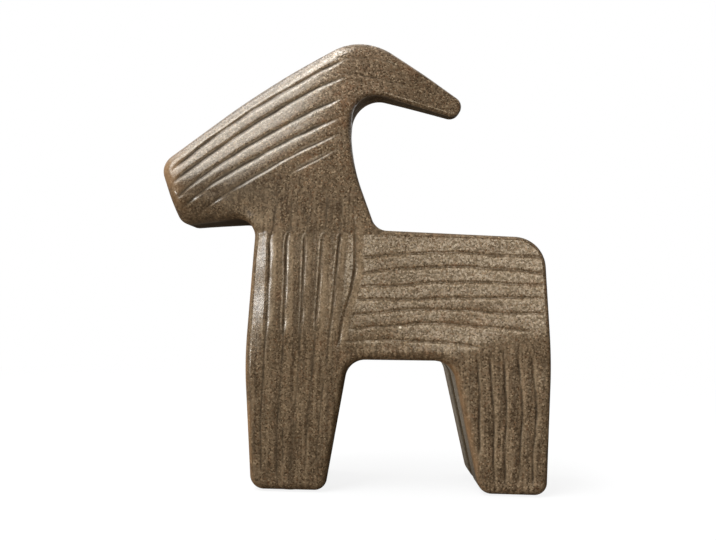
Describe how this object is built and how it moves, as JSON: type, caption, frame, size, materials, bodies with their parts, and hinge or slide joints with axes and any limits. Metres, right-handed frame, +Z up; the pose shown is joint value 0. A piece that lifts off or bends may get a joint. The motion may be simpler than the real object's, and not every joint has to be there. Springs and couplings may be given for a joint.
{
  "type": "yule goat ornament",
  "caption": "Standing stoneware goat with a long wedge head, a horn swept back from the crown, carved straw-like lines and felt dots under its feet.",
  "frame": {"origin": "on the table under the middle of the figure: centre of its length and width, at the underside of the felt dots", "axes": "+Z up, +X toward the rump with the head toward -X, +Y toward the goat's right side, so that -Y is the side in the picture"},
  "size_m": [0.1728, 0.06, 0.2006],
  "materials": {
    "glaze": "satin speckled brown glaze over stoneware",
    "horn_glaze": "satin speckled brown glaze over stoneware",
    "slip": "thin fired slip under glaze",
    "felt": "dense felt, stuck on"
  },
  "bodies": {
    "root": {"left_shell": "glaze", "right_shell": "glaze", "luting_seam": "slip", "horn": "horn_glaze", "horn_luting": "slip", "front_left_pad": "felt", "front_right_pad": "felt", "rear_left_pad": "felt", "rear_right_pad": "felt"}
  },
  "joints": []
}
